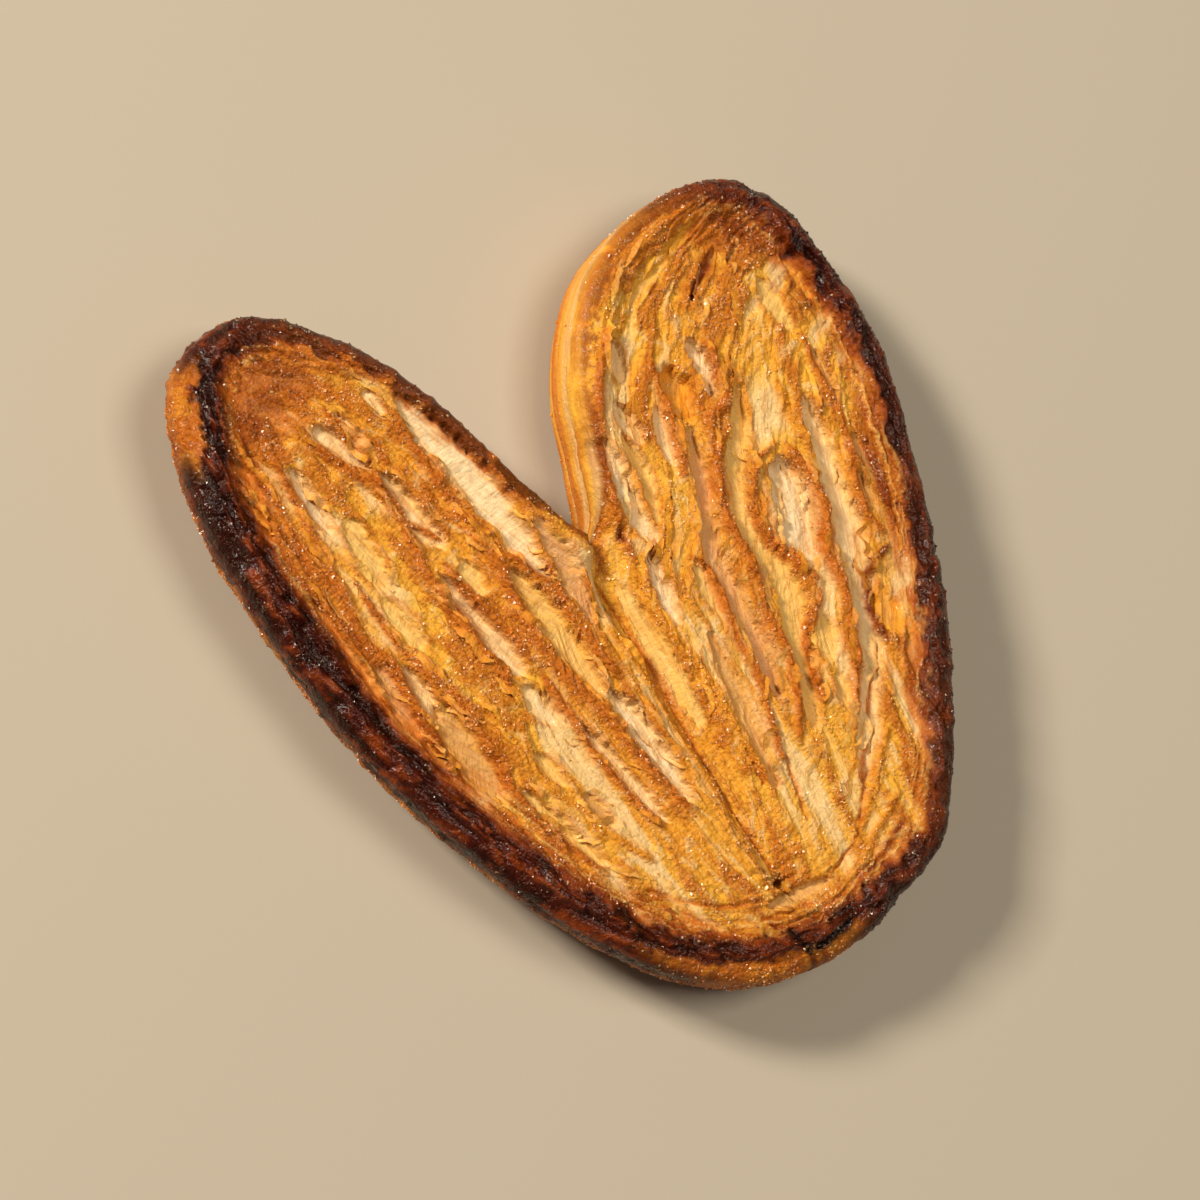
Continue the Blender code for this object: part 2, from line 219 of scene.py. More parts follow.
RIDGES = (
    # left lobe
    ("brown", 0.8, 0.4, (-29.2, 33.5), (-28.5, 27), (-28.6, 21), (-27.8, 15)),
    ("brown", 0.8, 0.5, (-26.3, 33), (-26.6, 25), (-26.8, 16), (-27.3, 9), (-25.8, 4), (-25.4, -4),
     (-25, -10.5)),
    ("brown", 0.6, 0.5, (-24.9, 15), (-24.4, 9), (-23.4, 4), (-21.9, 0), (-20.6, -4), (-20.2, -9),
     (-20.3, -14), (-18.4, -20), (-14.9, -27.6)),
    ("brown", 0.9, 0.8, (-23, 34), (-21.4, 29.4), (-19, 25.4), (-17, 22.6), (-16.5, 18), (-17, 12),
     (-15.9, 6), (-15.1, 0), (-14.4, -5)),
    ("brown", 0.6, 0.5, (-18.8, 33.4), (-16.6, 29), (-14.6, 24.4)),
    ("brown", 0.4, 0.3, (-16.1, 18.2), (-13.2, 14.4)),
    ("brown", 0.6, 0.7, (-14.6, 12), (-13.2, 6.6), (-11.3, 1), (-11, -2.4)),
    ("brown", 1.1, 0.7, (-12.4, 29), (-11, 24), (-10.2, 18), (-9, 11), (-9.1, 5), (-9.1, 0),
     (-8.4, -5), (-6.7, -10), (-5.4, -15), (-3.4, -22), (-2.6, -26)),
    ("brown", 0.7, 0.6, (-8.8, 9.2), (-6.8, 8.8), (-5.3, 6.4), (-4, 2), (-3.4, -2), (-2.5, -8.6)),
    ("brown", 0.7, 0.5, (-10.6, -4), (-9.8, -10), (-9.3, -15), (-8.2, -20), (-6.6, -25.6)),
    ("orange", 0.9, 0.4, (-0.6, -3), (0.9, -10), (1.4, -18), (1.6, -27), (2, -34)),
    ("brown", 0.9, 0.5, (-17, 38), (-11.4, 34.4), (-8.3, 30), (-5.9, 25.4), (-4.1, 19.6), (-3, 14)),
    ("orange", 0.8, 0.4, (-18, -3), (-17.6, -9), (-16.4, -15), (-13.4, -22), (-9.4, -28.6)),
    ("brown", 0.8, 0.4, (-23.6, -14), (-21.6, -20.4), (-17.6, -27.4), (-12, -33.6)),
    # right lobe
    ("brown", 0.7, 0.6, (6.2, 2), (6.9, 8), (8.5, 13.6), (9.9, 17.6), (12, 21.2), (16.6, 27.4)),
    ("orange", 0.8, 0.4, (5.8, 2), (5.9, -4), (6.6, -10), (7.4, -16), (7.5, -25)),
    ("orange", 0.5, 0.5, (14.8, 8), (12.4, 4), (10.2, 1), (9.9, -4), (10.6, -9)),
    ("brown", 0.6, 0.7, (12.6, -0.2), (14.1, -2.6), (13.9, -6.4), (12.9, -10.6), (13, -15),
     (11.9, -20.6), (10.6, -26)),
    ("brown", 0.7, 0.7, (20, 21.6), (19.4, 17), (18.6, 12.4), (16.9, 8)),
    ("brown", 0.85, 0.9, (27.9, 20.6), (27, 16.6), (26.3, 14), (23.4, 12.6), (22.4, 10), (20.6, 5),
     (19.1, 1), (18.8, -5), (17.6, -11.6), (17.8, -15.6), (16.4, -19.8), (13.6, -25)),
    ("brown", 0.5, 0.8, (29.8, 6.6), (27, 6.1), (24.8, 4.4), (22.8, 0.8), (22.8, -3), (24.2, -6.6),
     (26, -10)),
    ("brown", 0.9, 0.8, (30.6, 6), (31.5, 1), (30.9, -3), (28.6, -7.4), (28.1, -12), (26, -18.4),
     (22.4, -25.4)),
    ("brown", 0.5, 0.5, (24.6, -9), (25, -11.4), (22.2, -13.6), (20, -17), (18.9, -22.6)),
    ("brown", 0.6, 0.6, (39.4, 17), (38.8, 9), (38, 3), (36.4, -2), (35.6, -5.6), (36.6, -9)),
    ("rust", 0.5, 0.5, (39.9, 2.6), (39.2, -3), (38.2, -8)),
    ("rust", 0.5, 0.6, (36.4, -10), (32.8, -11.4), (30.6, -15), (29.8, -20)),
    ("orange", 0.7, 0.4, (33.6, 13.4), (33, 8.6), (33.6, 4)),
    ("orange", 0.6, 0.4, (24.6, -28.6), (18.4, -34.6), (12.8, -38.8)),
    # the outer layers that wrap round the base
    ("orange", 0.7, 0.5, (-14, -36.4), (-6, -40.6), (2.6, -42.2), (11, -41.4), (20, -36.6)),
    ("rust", 0.5, 0.4, (-4, -42.6), (4, -43.6), (12, -42.4), (20.6, -38.6)),
)
# Narrow shadow lines: grooves whose brown and rust are painted shade, with nothing pale in them,
# and burnt streaks over the rim.
SHADED_GROOVES = (
    ("brown", 0.3, -0.5, (1.6, 3), (2.4, -8), (2.5, -16), (2.4, -25), (3.1, -33), (3.4, -36.6)),
    ("brown", 0.2, -0.4, (7.7, 1.6), (6.9, -4.6)),
    ("brown", 0.25, -0.5, (7.3, -22.6), (7.4, -27.4)),
    ("brown", 0.25, -0.5, (11.4, -25.4), (9.8, -33.4)),
    ("brown", 0.3, -0.5, (27, -22), (19.6, -31.4), (14.6, -37.4), (9.6, -40)),
    ("rust", 0.4, -1.2, (6.6, 6.4), (6.4, 4.6)),
    ("rust", 0.75, -2.2, (2.9, -38), (4.2, -37.9)),
    ("brown", 0.25, -0.4, (-12, -31), (-5.6, -36.4), (0.4, -38.8)),
)
BURNS = (
    ("black", 0.5, -0.6, (1.3, -42.9), (2, -45.2), (2.8, -47.4)),
    ("black", 0.8, 0.2, (3, -46.4), (5.2, -46.2), (8.6, -45.2)),
)

# By share of the way along each open edge: how far in the face is toasted, mm, how
# dark, and how far in the dark rim starts, with crusted side outside it.
TOAST = {
    "left_outer": ((0, 2.7, 0.75, 0.8), (0.12, 2.9, 0.8, 0.7), (0.25, 3.2, 0.95, 0.3),
                   (0.5, 3.5, 1, 0), (0.78, 3.8, 1, 0), (0.92, 3.9, 1, 0.2), (1, 3.7, 1, 1.2)),
    "left_tip": ((0, 3.7, 1, 1.2), (0.35, 3.4, 1, 0.4), (0.6, 3, 0.85, 0), (1, 1.6, 0.5, 0)),
    "left_inner": ((0, 0.7, 0.35, 0), (0.3, 0.8, 0.4, 0), (0.7, 1.1, 0.45, 0), (1, 1.6, 0.5, 0)),
    "right_outer": ((0, 2.6, 0.85, 0.8), (0.08, 2.6, 0.95, 0.2), (0.2, 2.3, 0.6, 0),
                    (0.35, 2.8, 0.6, 0), (0.5, 3, 0.8, 0), (0.62, 2.6, 0.75, 0), (0.8, 2.4, 0.9, 0),
                    (1, 3, 1, 0)),
    "right_tip": ((0, 3.2, 1, 0), (0.5, 3, 0.95, 0), (0.8, 2, 0.6, 0), (1, 1, 0.3, 0)),
    "right_inner": ((0, 0.5, 0.15, 0), (0.8, 0.8, 0.2, 0), (1, 1, 0.3, 0)),
}
# Caramelised tips: the middle, how far the patch is stretched each way, and its size.
TIP_TOAST = (((-34.0, 44.0), (1.3, 1.2), 10.0), ((35.0, 36.0), (1.2, 1.0), 7.5))


# ---- helpers
def ease(low, high, value):
    """A smooth rise from 0 at the low value to 1 at the high one."""
    share = np.clip((value - low) / (high - low), 0, 1)
    return share * share * (3 - 2 * share)


def bell(distance, width):
    return np.exp(-((distance / width) ** 2))


def sizes(vectors):
    """The length of each vector."""
    return np.linalg.norm(vectors, axis=-1)


def unit(vectors):
    return vectors / sizes(vectors)[..., None]


def crest(value):
    """Turn smooth noise into sharp ridges, from -1 in the hollows to 1."""
    return np.maximum(1 - 3.2 * np.abs(value), -1)


def linear(tone):
    """A named tone as linear colour."""
    value = np.array(TONES[tone]) / 255
    return np.where(value <= 0.04045, value / 12.92, ((value + 0.055) / 1.055) ** 2.4)


def noise(u, v, seed, octaves=1):
    """Smooth random values from -1 to 1 over a plane, with cells one unit wide."""
    total = np.zeros(np.shape(u))
    weight = 1
    for octave in range(octaves):
        table = np.random.RandomState(seed + octave).uniform(-1, 1, (256, 256))
        column, row = np.floor(u).astype(int), np.floor(v).astype(int)
        right, up = u - column, v - row
        right = right * right * (3 - 2 * right)
        up = up * up * (3 - 2 * up)
        low, high = (table[column % 256, line % 256] * (1 - right)
                     + table[(column + 1) % 256, line % 256] * right
                     for line in (row, row + 1))
        total += weight * (low * (1 - up) + high * up)
        u, v, weight = u * 2.1, v * 2.1, weight * 0.5
    return total


def speckle(place, size, seed):
    """Smooth random values over the plan, in grains of this size."""
    u, v = (place[:, :2] / size).T
    return noise(u, v, seed, 2)


def run_length(points):
    """How far along a line of points each one is."""
    return np.concatenate([[0], np.cumsum(sizes(np.diff(points, axis=0)))])


class Path:
    """A smooth curve through a few points, measured by its length."""

    STEPS = 10

    def __init__(self, corners):
        points = np.array(corners, float)
        padded = [2 * points[0] - points[1], *points, 2 * points[-1] - points[-2]]
        u = np.linspace(0, 1, self.STEPS, endpoint=False)[:, None]
        pieces = []
        for a, b, c, d in zip(padded, padded[1:], padded[2:], padded[3:]):
            bend = (2 * a - 5 * b + 4 * c - d) * u ** 2
            twist = (3 * b - a - 3 * c + d) * u ** 3
            pieces.append((2 * b + (c - a) * u + bend + twist) / 2)
        self.line = np.vstack([*pieces, points[-1:]])
        self.length = run_length(self.line)

    def at(self, share):
        wanted = np.clip(share, 0, 1) * self.length[-1]
        return np.stack([np.interp(wanted, self.length, axis) for axis in self.line.T], -1)

    def nearest(self, points):
        """Distance to the curve, its sign by side, and the share along it."""
        best = np.full(len(points), np.inf)
        share = np.zeros(len(points))
        side = np.zeros(len(points))
        for index in range(len(self.line) - 1):
            start = self.line[index]
            run = self.line[index + 1] - start
            offset = points - start
            step = np.clip(offset @ run / (run @ run), 0, 1)
            gap = sizes(offset - step[:, None] * run)
            closer = gap < best
            best[closer] = gap[closer]
            here = self.length[index] + step * sizes(run)
            share[closer] = here[closer] / self.length[-1]
            turn = run[0] * offset[:, 1] - run[1] * offset[:, 0]
            side[closer] = np.sign(turn[closer])
        return best, side, share


EDGES = {
    "left_outer": Path(LEFT_OUTER), "left_tip": Path(LEFT_TIP),
    "left_inner": Path(LEFT_INNER), "right_outer": Path(RIGHT_OUTER),
    "right_tip": Path(RIGHT_TIP), "right_inner": Path(RIGHT_INNER),
}
SEAM_LINE = Path(SEAM)
OUTLINE = np.vstack([path.line for path in EDGES.values()])
MIDDLE = (OUTLINE.min(axis=0) + OUTLINE.max(axis=0)) / 2


# ---- the sheets
class Sheet:
    """The face of one lobe as a grid of points, with where each lies."""

    def __init__(self, name, edges, mesh):
        self.name = name
        self.rows, self.seam_rows, self.columns = mesh
        self.hand = 1 if name == "left" else -1
        inner, outer, tip = (edges[name + part] for part in ("_inner", "_outer", "_tip"))
        rows = np.arange(self.rows + 1) / self.rows
        columns = np.arange(self.columns + 1) / self.columns
        along, across = np.meshgrid(rows, columns, indexing="ij")
        seam_share = self.seam_rows / self.rows
        on_seam = SEAM_LINE.at(along / seam_share)
        on_edge = inner.at((along - seam_share) / (1 - seam_share))
        inside = np.where((along <= seam_share)[..., None], on_seam, on_edge)
        gather = GATHER_SHARE * (1 - ease(0, GATHER_END, along))
        share = across * (1 - gather + gather * across ** GATHER_POWER)
        plane = inside + (outer.at(along) - inside) * share[..., None]
        end = inner.at(1) + (outer.at(1) - inner.at(1)) * across[..., None]
        weight = ease(TIP_BLEND_START, 1, along) ** 2
        plane = plane + (tip.at(1 - across) - end) * weight[..., None]
        width = sizes(outer.at(along) - inside)
        steps = sizes(np.diff(plane, axis=0))
        down = np.concatenate([np.zeros((1, self.columns + 1)), np.cumsum(steps, axis=0)])
        self.points = plane.reshape(-1, 2)
        self.along, self.across = along.ravel(), across.ravel()
        self.flow_u, self.flow_v = (share * width).ravel(), down.ravel()

    def loop(self, ids):
        """Its edge, from the bottom of the heart up the outer side, round the tip,
        down into the cleft and down the seam, and what part of the edge each is on."""
        ids = ids.reshape(self.rows + 1, self.columns + 1)
        loop = np.concatenate([ids[:-1, -1], ids[-1, :0:-1], ids[:0:-1, 0], ids[0, :-1]])
        parts = np.repeat(("outer", "tip", "inner", "seam", "base"), (
            self.rows, self.columns, self.rows - self.seam_rows + 1, self.seam_rows - 1,
            self.columns))
        return loop, parts

    def quads(self, ids):
        ids = ids.reshape(self.rows + 1, self.columns + 1)
        quads = np.stack([ids[:-1, :-1], ids[:-1, 1:], ids[1:, 1:], ids[1:, :-1]], -1)
        return quads.reshape(-1, 4).tolist()


def band(before, after):
    """Faces between two closed rings of points."""
    return np.stack([before, np.roll(before, -1), np.roll(after, -1), after], -1).tolist()


def facing(place, hand):
    """Level directions away from a closed ring of points."""
    tangent = unit((np.roll(place, -1, axis=0) - np.roll(place, 1, axis=0))[:, :2])
    return np.column_stack([-tangent[:, 1], tangent[:, 0]]) * hand


def undercut(place, outward):
    """How far the foot of the side lies in from the face's edge on the left."""
    lean = UNDERCUT * ease(*UNDERCUT_FROM, -place[:, 0])
    return lean * ease(0, 0.9, -outward[:, 0])


def cleft_calm(place):
    """0 at the bottom of the cleft, where the two sides meet, and 1 away from it."""
    return ease(0, CLEFT_CALM, sizes(place[:, :2] - CLEFT))


def edge_distance(points):
    """Distance to the nearest open edge, and the toast there: reach, dark, margin."""
    best = np.full(len(points), np.inf)
    toast = np.zeros((3, len(points)))
    for name, path in EDGES.items():
        gap, _, share = path.nearest(points)
        closer = gap < best
        keys = np.array(TOAST[name])
        best[closer] = gap[closer]
        for row, values in zip(toast, keys.T[1:]):
            row[closer] = np.interp(share, keys[:, 0], values)[closer]
    return best, *toast


def plain(tone, count):
    """One tone for every point."""
    return np.repeat(linear(tone)[None], count, axis=0)


def paint(colour, *coats):
    """Mix named tones into the colours, one after another, each by its weights."""
    for tone, weight in coats:
        colour = colour + (linear(tone) - colour) * np.clip(weight, 0, 1)[:, None]
    return colour


def draw_lines(points, lines, seed):
    """For each drawn line, the points near it, with offset in half widths."""
    for index, (tone, half_width, height, *corners) in enumerate(lines):
        path = Path(np.array(corners) + DRAWN_FROM)
        reach = 3 * half_width + 1
        low, high = path.line.min(axis=0) - reach, path.line.max(axis=0) + reach
        near = np.all((points > low) & (points < high), axis=1)
        if not near.any():
            continue
        place = points[near]
        wobble = speckle(place, (1.7, 2.6), seed + index)
        gap, side, share = path.nearest(place)
        gap = gap + 0.16 * speckle(place, CRUMB_SIZE, seed + index)
        end = np.minimum(share, 1 - share)
        taper = 0.35 + 0.65 * np.sqrt(np.clip(end / LINE_TAPER, 0, 1))
        width = half_width * taper * (1 + LINE_WOBBLE * wobble)
        cut = ease(0, 0.06, end + 0.03)
        yield near, gap / width, side, cut, height, tone


def strand_fields(flow_u, flow_v, seed):
    """Ribs, sharp crinkles and fibres that run with the strands, each -1 to 1."""
    bend = 1.1 * noise(flow_u / 3.4, flow_v / 5, seed + 1, 3)
    ribs = 1.3 * noise((flow_u + bend) / 2.5, flow_v / 15, seed + 2, 2)
    crinkles = crest(noise((flow_u + bend) / 1.5, flow_v / 4.2, seed + 3, 2))
    fibres = noise((flow_u + 0.6 * bend) / 0.42, flow_v / 4, seed + 4, 2)
    return ribs, crinkles, fibres


def patterns(sheet, seed):
    """The random patterns that the face's layers share, each about -1 to 1."""
    points, flow_u, flow_v = sheet.points, sheet.flow_u, sheet.flow_v
    ribs, crinkles, fibres = strand_fields(flow_u, flow_v, seed)
    return SimpleNamespace(
        ribs=ribs, crinkles=crinkles, fibres=fibres, crumbs=speckle(points, CRUMB_SIZE, 91),
        clumps=speckle(points, CLUMP_SIZE, 93), broad=speckle(points, BLOTCH_SIZE, 55),
        patches=noise(flow_u / 1.1, flow_v / 2.4, seed + 6, 3),
        streaks=noise(flow_u / 1.3, flow_v / 5, seed + 7, 3))


def smooth_face(points, edge, margin):
    """The face's height without relief: the rim, the tips, the base and the seam."""
    rim = RIM_HEIGHT * bell(edge - RIM_INSET - margin, RIM_WIDTH)
    base = BASE_DROP * bell(sizes(points - BOTTOM), BASE_DROP_REACH)
    tips = TIP_RISE * ease(*TIP_RISE_FROM, points[:, 1])
    gap, side, share = SEAM_LINE.nearest(points)
    width = np.where(side > 0, SEAM_WIDTH_LEFT, SEAM_WIDTH_RIGHT)
    deep = SEAM_DEPTH_AT_BASE + (SEAM_DEPTH - SEAM_DEPTH_AT_BASE) * ease(0, 1, share)
    return FACE_HEIGHT + rim + tips - base - deep * bell(gap, width)


def layers(edge, round_it, thickness, length, seed):
    """Sharp layers that run along an edge."""
    return crest(noise(edge / thickness, round_it / length, seed, 2))


def strand_layer(sheet, given, edge):
    """The strands that no drawn line covers, as a face to draw the others on."""
    along, across = sheet.along, sheet.across
    count = len(along)
    calm = ease(0, 2, 60 * across * along) * ease(0, 1.5, edge)
    wrap = (1 - ease(0, 0.16, along)) * ease(0.3, 0.6, across)
    fine = RIBS * given.ribs + CRINKLES * given.crinkles + FIBRES * given.fibres
    fine = fine * calm * (1 - wrap)
    fine += WRAPS * layers(edge, sheet.points[:, 0] + 60, 0.9, 9, 77) * wrap
    browned = ease(0.1, 0.85, given.ribs + 0.45 * given.clumps)
    hollow = ease(0.15, 0.8, -given.ribs) * calm
    colour = paint(
        plain("gold", count),
        ("orange", 0.35 + 0.4 * given.broad + 0.3 * given.fibres),
        ("yellow", 0.75 * hollow),
        ("pale", 0.6 * ease(0.5, 1, -given.ribs) * calm),
        ("brown", 0.75 * browned),
        ("pale", 0.55 * ease(0.45, 0.95, given.crinkles) * calm * (1 - browned)))
    return SimpleNamespace(points=sheet.points, fine=fine, colour=colour,
                           grain=0.55 + 0.45 * browned, pocket=0.6 * hollow,
                           lip=np.zeros(count), ridge=np.zeros(count))


def draw_pockets(face, given):
    """Pale hollows between strands, with ragged edges and a browned lip."""
    for near, offset, side, cut, high, tone in draw_lines(face.points, POCKETS, POCKET_SEED):
        patches = given.patches[near]
        ragged = offset + 0.16 * patches + 0.12 * given.crumbs[near]
        inside = (1 - ease(0.75, 1.12, ragged)) * cut
        lip = bell(offset - 1.35, 0.28) * cut
        stain = 0.7 * ease(0.35, 0.95, ragged)
        stain = stain + 0.5 * ease(0.1, 0.7, given.fibres[near])
        tilt = 1 + 0.3 * np.clip(side * offset, -1, 1)
        face.height[near] += POCKET_DEPTH * high * inside * tilt + LIP * lip
        face.colour[near] = paint(
            face.colour[near], (tone, 1.15 * inside), ("gold", 0.5 * inside * stain),
            ("tan", 0.4 * inside * ease(0, 0.6, patches)),
            ("brown", 0.6 * lip * (1 - inside)))
        face.pocket[near] = np.maximum(face.pocket[near], inside)
        face.lip[near] = np.maximum(face.lip[near], lip)


def draw_ridges(face):
    """Strands that stand up from the face, over the pockets they cross."""
    for near, offset, _, cut, high, tone in draw_lines(face.points, RIDGES, RIDGE_SEED):
        top = bell(offset, 1) * cut
        face.height[near] += RIDGE_HEIGHT * high * top * (1 + 0.5 * face.pocket[near])
        face.colour[near] = paint(face.colour[near], (tone, 1.1 * bell(offset, 1.15) * cut))
        face.ridge[near] = np.maximum(face.ridge[near], top)
        face.pocket[near] *= 1 - top


def draw_slots(face, lines, seed, strength):
    """Narrow lines of one tone.  Gives how far each point of the face is in one."""
    within = np.zeros(len(face.points))
    for near, offset, _, cut, high, tone in draw_lines(face.points, lines, seed):
        slot = bell(offset, 1) * cut
        face.height[near] += high * slot
        face.colour[near] = paint(face.colour[near], (tone, strength * slot))
        within[near] = np.maximum(within[near], slot)
    return within


def add_caramel(face, given, edge, reach, dark, margin):
    """Caramelised sugar towards the tips and the open edges, in streaks."""
    clumps, streaks = given.clumps, given.streaks
    open_edge = edge - margin
    ragged = open_edge + 0.45 * clumps + 0.5 * streaks + 0.2 * given.crumbs
    spread = open_edge + 1.1 * streaks + 0.8 * clumps + 0.5 * given.broad
    tip = np.max([bell(sizes((face.points - centre) / stretch), size)
                  for centre, stretch, size in TIP_TOAST], axis=0)
    tip = np.clip(tip * (1.25 + 0.4 * clumps + 0.4 * streaks), 0, 1)
    tip = tip * (1 - 0.35 * face.pocket)
    warm = 1 - ease(1.1, 2.1, spread / reach)
    toasted = 1 - ease(0.9, 1.45, ragged / reach)
    outside = ease(0.2, 0.9, margin) * (1 - ease(-0.4, 0.2, ragged - 0.3))
    char = (1 - ease(0.65, 1.1, ragged / reach)) * dark * (1 - outside)
    hem = bell(open_edge - 1.5 * reach, 1.8) * ease(0.3, 0.7, dark)
    hem *= (1 - char) * (1 - 0.7 * face.pocket)
    x, y = face.points.T
    threads = layers(edge + 0.4 * clumps, x + 60, 0.62, 7, 79)
    rope = layers(edge + 0.5 * clumps, x + y, 1.15, 9, 47)
    burnt = 0.6 * rope + 0.5 * clumps + 0.4 * streaks
    face.colour = paint(
        face.colour,
        ("brown", 0.9 * ease(0.2, 0.5, tip)),
        ("rust", 0.7 * ease(0.45, 1, tip)),
        ("brown", warm * np.minimum(1, 0.3 + dark)),
        ("rust", toasted * np.minimum(1, 0.35 + dark)),
        ("yellow", 0.75 * hem * ease(0.35, 0.95, threads)),
        ("rust", 0.55 * hem * ease(-0.2, -0.9, threads)),
        ("caramel", char),
        ("black", 0.75 * char * ease(0.3, -0.5, burnt)),
        ("rust", 0.75 * char * ease(0.35, 1, burnt)),
        ("brown", 0.9 * outside),
        ("orange", 0.6 * outside * ease(-0.2, 0.6, given.crumbs + clumps)))
    face.pocket *= (1 - char) * (1 - 0.6 * tip)
    face.height += THREADS * hem * threads
    face.height += ROPES * rope * char
    face.char, face.tip, face.outside = char, tip, outside


def face_fields(sheet, seed):
    """Height, colour, grain and gloss of the face."""
    edge, reach, dark, margin = edge_distance(sheet.points)
    given = patterns(sheet, seed)
    face = strand_layer(sheet, given, edge)
    face.height = smooth_face(sheet.points, edge, margin)
    draw_pockets(face, given)
    draw_ridges(face)
    # The grooves' brown and rust are painted shade.
    draw_slots(face, SHADED_GROOVES, SHADED_GROOVE_SEED, 0.9)
    add_caramel(face, given, edge, reach, dark, margin)
    char = np.maximum(face.char, draw_slots(face, BURNS, BURN_SEED, 1.2))
    pocket, ridge, outside = face.pocket, face.ridge, face.outside
    height = face.height + face.fine * (1 - 0.5 * pocket)
    height += given.crumbs * (0.09 + 0.04 * ridge) * (1 - 0.9 * pocket)
    height += given.clumps * (0.07 + 0.2 * char) * (1 - 0.7 * pocket)
    grain = np.clip(face.grain + 0.4 * ridge + 0.4 * face.tip, 0, 1)
    grain = grain * (1 - 0.85 * pocket)
    grain = (grain + (1 - grain) * outside) * (1 - 0.6 * char)
    flaky = 0.1 + 1.2 * face.lip + 0.4 * ridge + 0.6 * ease(0.3, 0.9, given.crinkles)
    return {"height": height, "colour": face.colour, "grain": grain, "pocket": pocket,
            "char": char, "flaky": flaky * (1 - ease(0.2, 0.6, char))}


# ---- body
class Cloud:
    """Points with what the crust material reads from them."""

    FIELDS = ("grain", "pocket", "char")

    def __init__(self):
        self.place, self.colour, self.flow = [], [], []
        self.fields = {name: [] for name in self.FIELDS}
        self.count = 0

    def add(self, place, colour, flow, **fields):
        first = self.count
        self.place.append(place)
        self.colour.append(colour)
        self.flow.append(flow)
        for name in self.FIELDS:
            self.fields[name].append(np.broadcast_to(fields[name], (len(place),)))
        self.count += len(place)
        return np.arange(first, self.count)

    def object(self, name, faces, smooth=True):
        data = bpy.data.meshes.new(name)
        place = np.vstack(self.place) - (*MIDDLE, 0)
        data.from_pydata((place * MM).tolist(), [], faces)
        mesh = bmesh.new()
        mesh.from_mesh(data)
        bmesh.ops.recalc_face_normals(mesh, faces=mesh.faces)
        mesh.to_mesh(data)
        mesh.free()
        colour = np.column_stack([np.vstack(self.colour), np.ones(self.count)])
        layer = data.color_attributes.new("tone", "FLOAT_COLOR", "POINT")
        layer.data.foreach_set("color", colour.ravel())
        layer = data.attributes.new("flow", "FLOAT_VECTOR", "POINT")
        layer.data.foreach_set("vector", np.vstack(self.flow).ravel())
        for field, parts in self.fields.items():
            layer = data.attributes.new(field, "FLOAT", "POINT")
            layer.data.foreach_set("value", np.concatenate(parts))
        data.update()
        if smooth:
            data.shade_smooth()
            data.set_sharp_from_angle(angle=SHARP_FROM)
        return put(data)


def wall_looks(top_colour, smooth, level, length, dark):
    """Colour of the side: toasted near the face, lighter below, layered where smooth."""
    depth = np.full(len(length), 1 - level)
    blotch = noise(length / 3, depth * 4, 611, 3)
    crumbs = noise(length / 0.7, depth * 18, 617, 2)
    lines = noise(length / 22, depth * 13, 613, 2)
    ropes = crest(noise((length + 2 * blotch) / 9, depth * 11, 619, 2))
    colour = paint(
        plain("brown", len(length)),
        ("orange", 0.15 + 0.5 * blotch + 0.4 * crumbs),
        ("rust", 0.15 + 0.6 * ease(0, 0.9, -blotch - 0.5 * crumbs)),
        ("orange", smooth), ("gold", smooth * (0.75 + 0.4 * blotch)),
        ("brown", smooth * ease(0.05, 0.4, lines) * 0.9),
        ("pale", smooth * ease(0.15, 0.6, -lines) * 0.6))
    reach = 0.06 + 0.26 * dark
    toast = 1 - ease(0.6 * reach, 1.4 * reach, depth + 0.06 * blotch)
    toast *= 1 - 0.55 * smooth
    char = toast * dark
    colour = paint(
        colour + (top_colour - colour) * toast[:, None], ("caramel", char),
        ("black", 0.75 * char * ease(0.2, -0.6, ropes + blotch)),
        ("rust", 0.75 * char * ease(0.3, 1, ropes + 0.5 * crumbs)))
    return colour, lines, ropes, char


def wall_drift(parts):
    """Which way the strands' own coordinates run on, down each part of the side."""
    drift = np.zeros((len(parts), 3))
    drift[:, 0] = np.where(parts == "outer", 1, np.where(parts == "inner", -1, 0))
    drift[:, 1] = parts == "tip"
    return drift


